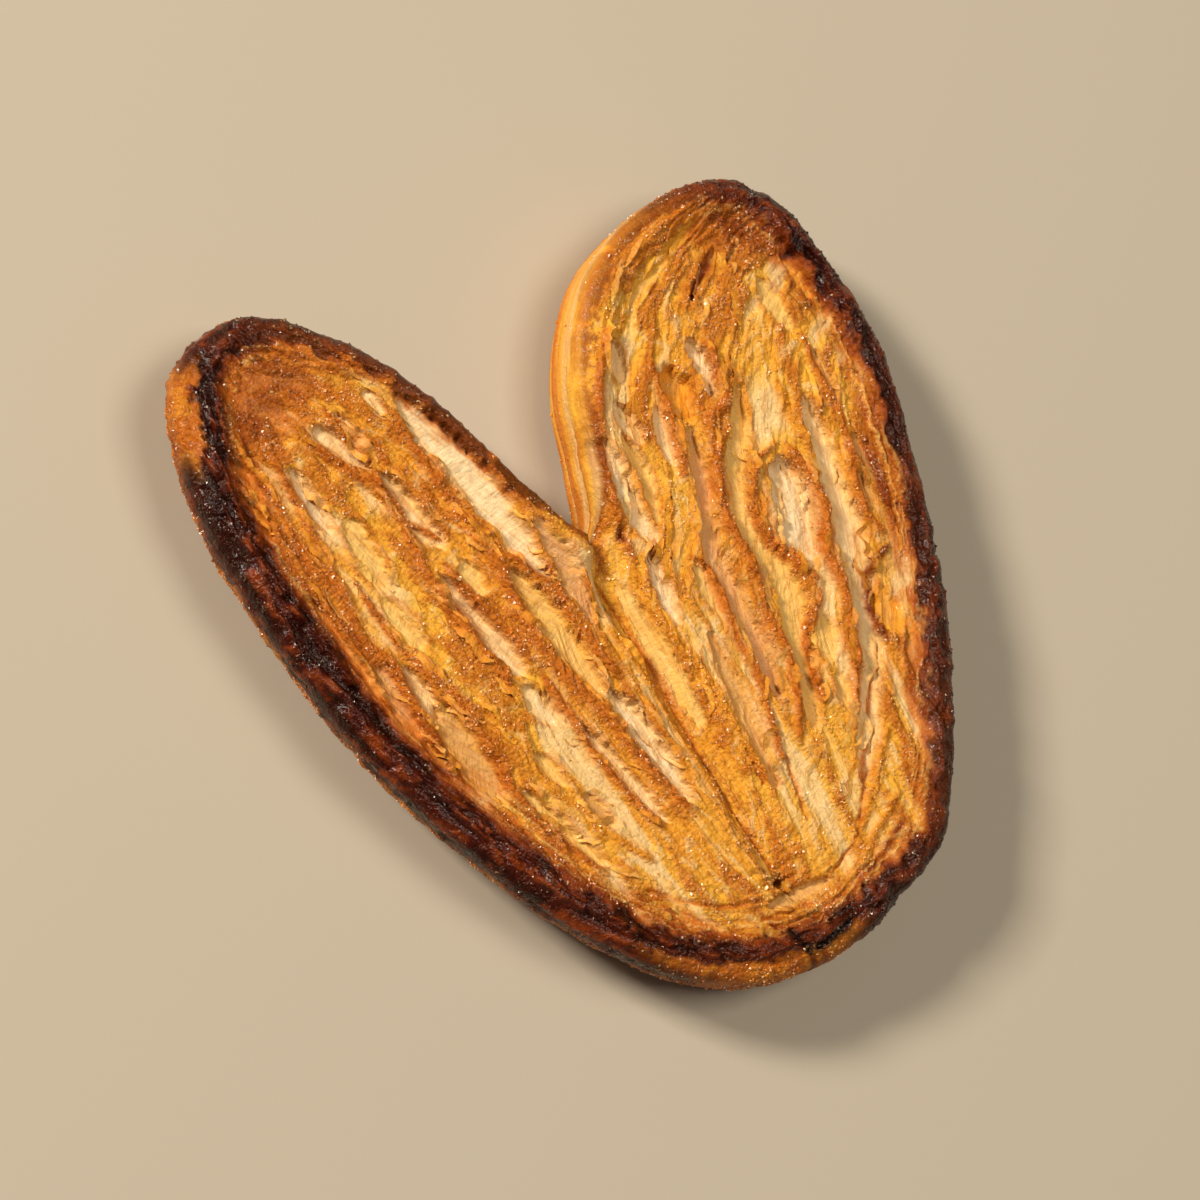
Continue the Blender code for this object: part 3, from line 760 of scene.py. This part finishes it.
def lobe_body(sheet):
    """One lobe as a closed body.  The two meet on an upright cut at the seam."""
    cloud = Cloud()
    looks = {name: sheet.fields[name] for name in Cloud.FIELDS}
    flow = np.column_stack([sheet.flow_u, sheet.flow_v, sheet.fields["height"]])
    place = np.column_stack([sheet.points, sheet.fields["height"]])
    ids = cloud.add(place, sheet.fields["colour"], flow, **looks)
    loop, parts = sheet.loop(ids)
    faces = sheet.quads(ids)

    place = place[loop]
    outward = facing(place, sheet.hand)
    outward[0] = (0, -1)
    length = run_length(place[:, :2]) * sheet.hand
    calm = np.isin(parts, ("outer", "tip", "inner")) * cleft_calm(place)
    steady = calm * ease(0, 2.5, np.abs(length))
    smooth = np.zeros(len(length))
    if sheet.name == "right":
        smooth = (parts != "outer") * ease(0, 9, SMOOTH_SIDE_END - place[:, 0])
    lean = undercut(place, outward)
    drift = wall_drift(parts)
    top_colour = sheet.fields["colour"][loop]
    dark = sheet.fields["char"][loop]
    side = Path(SIDE)
    previous = loop
    for ring in range(1, WALL_RINGS + 1):
        out, level = side.at(ring / WALL_RINGS) / (1, SIDE_HEIGHT)
        colour, lines, ropes, char = wall_looks(top_colour, smooth, level, length, dark)
        depth = 1 - level
        rough = noise(length / 0.9, np.full(len(length), depth * 14), 621, 3)
        rough = (SIDE_LAYERS * lines * smooth + SIDE_GRAIN * rough * (1 - 0.85 * smooth)
                 + SIDE_ROPES * ropes * char)
        rough = rough * (min(1, 4 * depth) * min(1, 6 * level))
        reach = out * calm + rough * steady - lean * depth ** 1.5
        height = BODY_BOTTOM + (place[:, 2] - BODY_BOTTOM) * level
        here = np.column_stack([place[:, :2] + outward * reach[:, None], height])
        grain = (0.95 - 0.75 * smooth) * (1 - 0.6 * char)
        ids = cloud.add(here, colour, flow[loop] + drift * (SIDE_HEIGHT * depth),
                        grain=grain, pocket=0.35 * smooth, char=char)
        faces += band(previous, ids)
        previous = ids
    faces.append(previous.tolist())
    return cloud.object(sheet.name + "_lobe", faces)


# ---- underside
def inset_path(name):
    """An open edge of the face, brought in to the foot of the side."""
    line = EDGES[name].line
    tangent = unit(np.gradient(line, axis=0))
    turn = 1 if name in ("left_outer", "left_tip", "right_inner") else -1
    outward = np.column_stack([-tangent[:, 1], tangent[:, 0]]) * turn
    inset = FOOT_INSET * cleft_calm(line) + undercut(line, outward)
    return Path(line - outward * inset[:, None])


def underside():
    """The ridged underside, one closed skin for each lobe."""
    cloud = Cloud()
    faces = []
    foot = {name: inset_path(name) for name in EDGES}
    for name, seed in UNDERSIDE_SEEDS.items():
        sheet = Sheet(name, foot, UNDER_MESH)
        edge = np.min([foot[key].nearest(sheet.points)[0] for key in foot], axis=0)
        ribs, crinkles, _ = strand_fields(sheet.flow_u, sheet.flow_v, seed)
        clumps = speckle(sheet.points, 1.6, 95)
        inside = ease(0, 2.5, edge)
        free = inside * ease(0, 2, 60 * sheet.across * sheet.along)
        rise = UNDERSIDE_RISE - 0.3 * ribs - 0.1 * crinkles - 0.08 * clumps
        rise = np.clip(rise, 0, 0.65) * free + UNDERSIDE_RISE * (inside - free)
        height = BODY_BOTTOM * (1 - inside) + rise
        colour = paint(
            plain("orange", len(height)),
            ("brown", 0.5 + 0.5 * ribs + 0.4 * clumps),
            ("gold", 0.7 * ease(0.1, 0.8, -ribs)),
            ("rust", 0.5 * (1 - ease(0.5, 5, edge))))
        flow = np.column_stack([sheet.flow_u, sheet.flow_v, height])
        first = cloud.count
        ids = cloud.add(np.column_stack([sheet.points, height]), colour, flow,
                        grain=0.8, pocket=0.3 * ease(0.2, 0.8, -ribs), char=0.0)
        faces += sheet.quads(ids)
        loop, _ = sheet.loop(ids)
        lid = np.column_stack([sheet.points, np.full(len(height), UNDERSIDE_TOP)])
        ids = cloud.add(lid[loop - first], colour[loop - first], flow[loop - first],
                        grain=0.8, pocket=0.0, char=0.0)
        faces += band(loop, ids)
        faces.append(ids.tolist())
    return cloud.object("underside", faces)


# ---- flakes, sugar
def skin_of(piece):
    """The four-sided faces of a finished surface, with the looks of its points."""
    data = piece.data

    def read(items, key, width, kind=float):
        values = np.empty(len(items) * width, kind)
        items.foreach_get(key, values)
        return values.reshape(-1, width)

    starts = read(data.polygons, "loop_start", 1, int)[:, 0]
    four = read(data.polygons, "loop_total", 1, int)[:, 0] == 4
    vertices = read(data.loops, "vertex_index", 1, int)[:, 0]
    skin = {"place": read(data.vertices, "co", 3) / MM + (*MIDDLE, 0),
            "normal": read(data.vertex_normals, "vector", 3),
            "tone": read(data.color_attributes["tone"].data, "color", 4)[:, :3],
            "area": read(data.polygons, "area", 1)[four, 0],
            "quads": vertices[starts[four][:, None] + np.arange(4)]}
    for field in Cloud.FIELDS:
        skin[field] = read(data.attributes[field].data, "value", 1)[:, 0]
    return skin


CUBE_CORNERS = np.array([(x, y, z) for x in (-0.5, 0.5) for y in (-0.5, 0.5)
                         for z in (-0.5, 0.5)])
CUBE_FACES = np.array([(0, 1, 3, 2), (4, 6, 7, 5), (0, 4, 5, 1), (2, 3, 7, 6),
                       (0, 2, 6, 4), (1, 5, 7, 3)])


def turned(count, random):
    """Matrices that turn things every way, from random quaternions."""
    w, x, y, z = unit(random.normal(size=(count, 4))).T
    return np.array([[1 - 2 * (y * y + z * z), 2 * (x * y - z * w), 2 * (x * z + y * w)],
                     [2 * (x * y + z * w), 1 - 2 * (x * x + z * z), 2 * (y * z - x * w)],
                     [2 * (x * z - y * w), 2 * (y * z + x * w), 1 - 2 * (x * x + y * y)]])


def sugar(name, skin, weight, count, limits, pale_and_glint_share, seed):
    """Crystals and crumbs of sugar, part sunk in the crust, some paled partly as painted glints."""
    random = np.random.RandomState(seed)
    clusters = ease(-0.3, 0.7, speckle(skin["place"], 1.5, seed))
    chance = (weight * (0.08 + clusters))[skin["quads"]].mean(axis=1) * skin["area"]
    chosen = skin["quads"][random.choice(len(chance), count, p=chance / chance.sum())]
    u, v = random.uniform(0, 1, (2, count))
    share = np.stack([(1 - u) * (1 - v), u * (1 - v), u * v, (1 - u) * v], -1)
    place, normal, tone = (np.einsum("ij,ijk->ik", share, skin[key][chosen])
                           for key in ("place", "normal", "tone"))
    small, large = limits
    size = small + (large - small) * random.uniform(0, 1, count) ** SMALL_FIRST
    place = place + normal * (random.uniform(*SUGAR_SINK, count) * size)[:, None]
    spin = turned(count, random)
    block = CUBE_CORNERS * random.uniform(*SUGAR_STRETCH, (count, 1, 3))
    block = block + random.uniform(-SUGAR_SKEW, SUGAR_SKEW, (count, 8, 3))
    block = np.einsum("ijn,nkj->nki", spin, block * size[:, None, None]) + place[:, None]
    tone = tone * random.uniform(*SUGAR_SHADES, (count, 1))
    # Some crystals are paled towards white: partly sugar's own whiteness, partly painted glint.
    pale = pale_and_glint_share * random.uniform(0, 1, (count, 1)) ** SMALL_FIRST
    tone = np.repeat(tone + (linear("pale") - tone) * pale, 8, axis=0)
    points = block.reshape(-1, 3)
    cloud = Cloud()
    cloud.add(points, tone, points, grain=0.0, pocket=0.0, char=0.0)
    faces = (8 * np.arange(count)[:, None, None] + CUBE_FACES).reshape(-1, 4).tolist()
    return cloud.object(name, faces, smooth=False)


def add_flake(cloud, faces, line, across, height, lean, curl, tones):
    """A thin sheet that stands on a line of the face and leans over."""
    count = len(line)
    share = np.clip(np.linspace(0, 1, count), 0.02, 0.98)
    rise = np.maximum(height * np.sin(np.pi * share) ** 0.6, 0.05)[:, None]
    up = np.array((0, 0, 1))
    first, second = (up * np.cos(angle)[:, None] + across * np.sin(angle)[:, None]
                     for angle in (lean, lean + curl))
    foot = line - first * FLAKE_ROOT
    middle = line + first * (0.55 * rise)
    top = middle + second * (0.5 * rise)
    off = unit(np.cross(second, np.gradient(line, axis=0))) * FLAKE_HALF_THICKNESS
    rows = np.stack([foot - off, middle - off, top - 0.5 * off, top + 0.5 * off,
                     middle + off, foot + off], axis=1)
    looks = np.stack([*tones, *tones[::-1]], axis=1)
    points = rows.reshape(-1, 3)
    ids = cloud.add(points, looks.reshape(-1, 3), points, grain=0.25, pocket=0.4, char=0.0)
    ids = ids.reshape(count, 6)
    for near, far in zip(ids, ids[1:]):
        faces += band(near, far)
    faces += [ids[0].tolist(), ids[-1].tolist()]


def flakes(sheet, seed):
    """Loose flakes along the lips and ridges of one lobe."""
    random = np.random.RandomState(seed)
    cloud = Cloud()
    faces = []
    shape = (sheet.rows + 1, sheet.columns + 1)
    grid = np.column_stack([sheet.points, sheet.fields["height"]]).reshape(*shape, 3)
    colour = sheet.fields["colour"].reshape(*shape, 3)
    cross = np.gradient(grid, axis=1)
    cross[..., 2] = 0
    spacing = sizes(cross)
    cross = cross / spacing[..., None]
    step = sizes(np.gradient(grid, axis=0))
    chance = sheet.fields["flaky"].reshape(shape) * spacing * step
    first, last, inner, outer = FLAKE_FREE
    chance[:first], chance[-last:], chance[:, :inner], chance[:, -outer:] = 0, 0, 0, 0
    chance = chance.ravel() / chance.sum()
    for start in random.choice(len(chance), FLAKES, p=chance):
        row, column = divmod(start, shape[1])
        size = random.uniform(0, 1) ** 1.6
        length = FLAKE_LENGTH[0] + (FLAKE_LENGTH[1] - FLAKE_LENGTH[0]) * size
        stations = int(length / step[row, column]) + 4
        rows = row + np.arange(stations) - stations // 2
        rows = rows[(rows >= 4) & (rows <= shape[0] - 8)]
        count = len(rows)
        if count < 6:
            continue

        def vary(amount, run, lane, turn, octaves=2):
            """Noise along this flake, in a lane of its own."""
            lanes = np.full(count, start % lane + 0.5)
            return amount * noise(rows / run, lanes, seed + turn, octaves)

        columns = column + vary(0.5, 7, 997, 0) / spacing[row, column]
        columns = np.round(np.clip(columns, 1, shape[1] - 2)).astype(int)
        across = cross[rows, columns] * random.choice((-1, 1))
        tall = random.uniform(*FLAKE_HEIGHT) * (0.6 + 0.4 * size)
        lean = random.uniform(*FLAKE_LEAN) + vary(0.2, 5, 983, 2, 1)
        base = colour[rows, columns]
        tone = random.choice(("yellow", "gold", "gold"))
        body = paint(base, (tone, np.full(count, 0.35)))
        toasted = 0.7 * ease(0.2, 0.7, random.uniform(0, 1))
        edge = paint(body, ("brown", np.full(count, toasted)))
        add_flake(cloud, faces, grid[rows, columns], across,
                  tall * (1 + vary(0.4, 2.2, 991, 1)), lean, random.uniform(*FLAKE_CURL),
                  (base, body, edge))
    return cloud.object(sheet.name + "_flakes", faces)


# ---- materials, in metres
CRUMBS, CLUMPS, CELLS, MELTED = 2100, 1000, 2000, 5000      # how many a metre
CELL_WAVER = (0.0004, 0.0004, 0.0004)
CRUST_RELIEF = 0.00035
GLAZE_RELIEF = 0.0003
SUGAR_RELIEF = 0.0001


class Wire:
    """A number in a node tree.  Adding or multiplying it makes the math node."""

    def __init__(self, tree, socket):
        self.tree, self.socket = tree, socket

    def math(self, operation, first, second):
        node = self.tree.nodes.new("ShaderNodeMath")
        node.operation = operation
        for socket, value in zip(node.inputs, (first, second)):
            plug(self.tree, value, socket)
        return Wire(self.tree, node.outputs[0])

    def __add__(self, other):
        return self.math("ADD", self, other)

    def __sub__(self, other):
        return self.math("SUBTRACT", self, other)

    def __rsub__(self, other):
        return self.math("SUBTRACT", other, self)

    def __mul__(self, other):
        return self.math("MULTIPLY", self, other)

    def ramp(self, low, high):
        """0 below the low value and 1 above the high one, or the other way round."""
        node = add(self.tree, "ShaderNodeMapRange", Value=self, From_Min=low, From_Max=high)
        node.interpolation_type = "SMOOTHSTEP"
        return Wire(self.tree, node.outputs["Result"])


def plug(tree, value, socket):
    """Give a socket a constant, or link it to a wire or to another socket."""
    value = getattr(value, "socket", value)
    if isinstance(value, bpy.types.NodeSocket):
        tree.links.new(value, socket)
    else:
        socket.default_value = value


def add(tree, kind, **settings):
    """A node with its settings, where a name with a capital is a socket."""
    node = tree.nodes.new(kind)
    for key, value in settings.items():
        if key[0].isupper():
            plug(tree, value, node.inputs[key.replace("_", " ")])
        else:
            setattr(node, key, value)
    return node


def make_material(name, make_inputs):
    """A material whose shader has the inputs that a function makes for its tree."""
    material = bpy.data.materials.new(name)
    material.use_nodes = True
    tree = material.node_tree
    shader = tree.nodes["Principled BSDF"]
    for socket, value in make_inputs(tree).items():
        plug(tree, value, shader.inputs[socket])
    return material


def attribute(tree, name, output):
    return add(tree, "ShaderNodeAttribute", attribute_name=name).outputs[output]


def noise_node(tree, vector, scale, detail, roughness):
    node = add(tree, "ShaderNodeTexNoise", Vector=vector, Scale=scale, Detail=detail,
               Roughness=roughness)
    return Wire(tree, node.outputs["Fac"])


def stretched(tree, vector, scale):
    return add(tree, "ShaderNodeMapping", Vector=vector, Scale=scale).outputs["Vector"]


def bumped(tree, height, strength, distance):
    node = add(tree, "ShaderNodeBump", Height=height, Strength=strength, Distance=distance)
    return node.outputs["Normal"]


def blend(tree, kind, share, first, second):
    node = tree.nodes.new("ShaderNodeMix")
    node.data_type = "RGBA"
    node.blend_type = kind
    for index, value in ((0, share), (6, first), (7, second)):
        plug(tree, value, node.inputs[index])
    return node.outputs[2]


def tinted(tree, colour, share, tint):
    """Multiply a colour by a tint, by a share."""
    return blend(tree, "MIX", share, colour, blend(tree, "MULTIPLY", 1, colour, (*tint, 1)))


def cell_nodes(tree, place):
    """Crystals as cells with wavering walls: a random number and a dome for each."""
    waver = add(tree, "ShaderNodeTexNoise", Vector=place, Scale=1500).outputs["Color"]
    warp = add(tree, "ShaderNodeVectorMath", operation="MULTIPLY_ADD")
    for socket, value in zip(warp.inputs, (waver, CELL_WAVER, place)):
        plug(tree, value, socket)
    cells = add(tree, "ShaderNodeTexVoronoi", Vector=warp.outputs[0], Scale=CELLS).outputs
    number = add(tree, "ShaderNodeSeparateColor", Color=cells["Color"]).outputs["Red"]
    return Wire(tree, number), 1 - Wire(tree, cells["Distance"])


def crust_inputs(tree):
    """Flaky crust: granular toasted crests, wrinkled pale skins, dark glossy rim."""
    flow = attribute(tree, "flow", "Vector")
    grain, pocket, char = (Wire(tree, attribute(tree, name, "Fac")) for name in Cloud.FIELDS)
    place = add(tree, "ShaderNodeTexCoord").outputs["Object"]
    crumbs = noise_node(tree, place, CRUMBS, 5, 0.72)
    clumps = noise_node(tree, place, CLUMPS, 3, 0.6)
    cells, domes = cell_nodes(tree, place)
    streaks = noise_node(tree, stretched(tree, flow, (1.6, 0.16, 0.2)), 1, 4, 0.65)
    wrinkles = noise_node(tree, stretched(tree, flow, (0.35, 2.4, 0.5)), 1, 3, 0.6)
    colour = attribute(tree, "tone", "Color")
    for share, tint in (
            (crumbs.ramp(0.48, 0.66) * grain * 0.7, (0.7, 0.48, 0.26)),
            (crumbs.ramp(0.48, 0.32) * grain * 0.6, (1.3, 1.45, 1.6)),
            (cells.ramp(0.55, 0.95) * grain * 0.5, (0.74, 0.55, 0.35)),
            (streaks.ramp(0.52, 0.66) * 0.6, (0.82, 0.62, 0.4)),
            (streaks.ramp(0.46, 0.32) * 0.5, (1.12, 1.2, 1.35)),
            (wrinkles.ramp(0.5, 0.72) * pocket * 0.35, (0.92, 0.78, 0.58))):
        colour = tinted(tree, colour, share, tint)
    bumps = ((crumbs * 1.3 + domes * 0.9) * grain + streaks * 0.8) * (1 - char * 0.85)
    bumps = bumps + clumps * (char * 1.5 + 0.7) + wrinkles * (pocket * 0.4)
    rough = clumps * 0.36 + 0.22 - char * 0.26
    return {
        "Base Color": colour, "Roughness": rough.math("MAXIMUM", rough, 0.1),
        "Normal": bumped(tree, bumps, 1, CRUST_RELIEF),
        "Coat Normal": bumped(tree, clumps * 1.2 + domes * 0.5 * grain, 1, GLAZE_RELIEF),
        "Coat Weight": char * 0.12 + 0.14, "Coat Roughness": 0.09,
        "Coat Tint": (1, 0.97, 0.92, 1), "Specular IOR Level": 0.14,
        "Specular Tint": (1, 0.72, 0.48, 1), "Subsurface Weight": 0.12,
        "Subsurface Radius": (1, 0.55, 0.25), "Subsurface Scale": 0.0007}


def sugar_inputs(tree):
    """Half-melted sugar: the crust's own colour under a clear gloss."""
    place = add(tree, "ShaderNodeTexCoord").outputs["Object"]
    cloudy = noise_node(tree, place, MELTED, 2, 0.5)
    tone = attribute(tree, "tone", "Color")
    return {"Base Color": tinted(tree, tone, cloudy.ramp(0.42, 0.62), (0.8, 0.62, 0.42)),
            "Roughness": cloudy * 0.26 + 0.1, "Normal": bumped(tree, cloudy, 0.5, SUGAR_RELIEF),
            "Specular IOR Level": 1, "Specular Tint": (1, 0.9, 0.78, 1)}


def floor_inputs(tree):
    """A plain pale floor."""
    return {"Base Color": (0.455, 0.378, 0.27, 1), "Roughness": 0.9}


# ---- staging
RIGHT_AXIS = Vector((0.8073, -0.47869, 0.34514))
UP_AXIS = Vector((0.42837, 0.8776, 0.2152))
BACK_AXIS = Vector((-0.40591, -0.02589, 0.91355))
TARGET = (Vector((-7.1, 0.8, 13)) - Vector((*MIDDLE, 0))) * MM
CAMERA_DISTANCE = 376 * MM
LENS = 100
SENSOR = 36
NEAREST_SEEN = 0.01
# Each lamp's place from the target along the camera's axes, its side, watts and colour.
LAMPS = {"key": ((-0.75, 0.7, 0.95), 0.26, 26, (1, 0.955, 0.9)),
         "fill": ((0.6, 0.25, 0.9), 0.45, 6.5, (1, 0.97, 0.93))}
SKY = (1, 0.96, 0.91, 1)
SKY_STRENGTH = 0.1
FLOOR_REACH = 3


def put(data, place=(0, 0, 0), turn=Matrix.Identity(3)):
    """Link data into the scene as an object of the same name."""
    item = bpy.data.objects.new(data.name, data)
    item.matrix_world = Matrix.Translation(place) @ turn.to_4x4()
    bpy.context.scene.collection.objects.link(item)
    return item


def camera():
    data = bpy.data.cameras.new("camera")
    data.lens = LENS
    data.sensor_width = SENSOR
    data.clip_start = NEAREST_SEEN
    turn = Matrix((RIGHT_AXIS, UP_AXIS, BACK_AXIS)).transposed()
    bpy.context.scene.camera = put(data, TARGET + BACK_AXIS * CAMERA_DISTANCE, turn)


def area_light(name, offset, side, watts, colour):
    """A square lamp that shines at the pastry."""
    data = bpy.data.lights.new(name, "AREA")
    data.size = side
    data.energy = watts
    data.color = colour
    right, up, back = offset
    place = TARGET + RIGHT_AXIS * right + UP_AXIS * up + BACK_AXIS * back
    put(data, place, (place - TARGET).to_track_quat("Z", "Y").to_matrix())


def stage():
    data = bpy.data.meshes.new("floor")
    corners = [(-1, -1), (1, -1), (1, 1), (-1, 1)]
    data.from_pydata([(x * FLOOR_REACH, y * FLOOR_REACH, 0) for x, y in corners], [],
                     [(0, 1, 2, 3)])
    data.materials.append(make_material("floor", floor_inputs))
    put(data)
    for name, settings in LAMPS.items():
        area_light(name, *settings)
    world = bpy.data.worlds.new("studio")
    world.use_nodes = True
    back = world.node_tree.nodes["Background"]
    back.inputs["Color"].default_value = SKY
    back.inputs["Strength"].default_value = SKY_STRENGTH
    bpy.context.scene.world = world
    bpy.context.scene.view_settings.view_transform = "Standard"


def adopt(piece, material):
    """A piece of the pastry: its finish, its body, and the CAD node it replaces."""
    piece.data.materials.append(material)
    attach(piece, "root")
    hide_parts("palmier")


camera()
stage()
crust = make_material("palmier_crust", crust_inputs)
crystal = make_material("palmier_sugar", sugar_inputs)
skins = {}
for lobe_name, lobe_seed in LOBE_SEEDS.items():
    lobe = Sheet(lobe_name, EDGES, LOBE_MESH)
    lobe.fields = face_fields(lobe, lobe_seed)
    body = lobe_body(lobe)
    adopt(body, crust)
    skins[lobe_name] = skin_of(body)
    adopt(flakes(lobe, lobe_seed + 70), crust)
adopt(underside(), crust)
for side_name, skin in skins.items():
    sugar_seed = SUGAR_SEEDS[side_name]
    on_face = skin["place"][:, 2] > 2
    face_weight = skin["grain"] ** 2 * (1 - skin["char"]) * on_face
    # The 0.6 and 0.12 below pale some crystals, partly as painted glints.
    adopt(sugar(side_name + "_sugar", skin, face_weight, FACE_SUGAR, FACE_SUGAR_SIZE, 0.6,
                sugar_seed), crystal)
    rough_side = (skin["normal"][:, 2] < 0.5) * (skin["grain"] > 0.5)
    rim_weight = skin["char"] ** 1.5 + 0.1 * rough_side
    adopt(sugar(side_name + "_rim_sugar", skin, rim_weight, RIM_SUGAR, RIM_SUGAR_SIZE, 0.12,
                sugar_seed + 10), crystal)
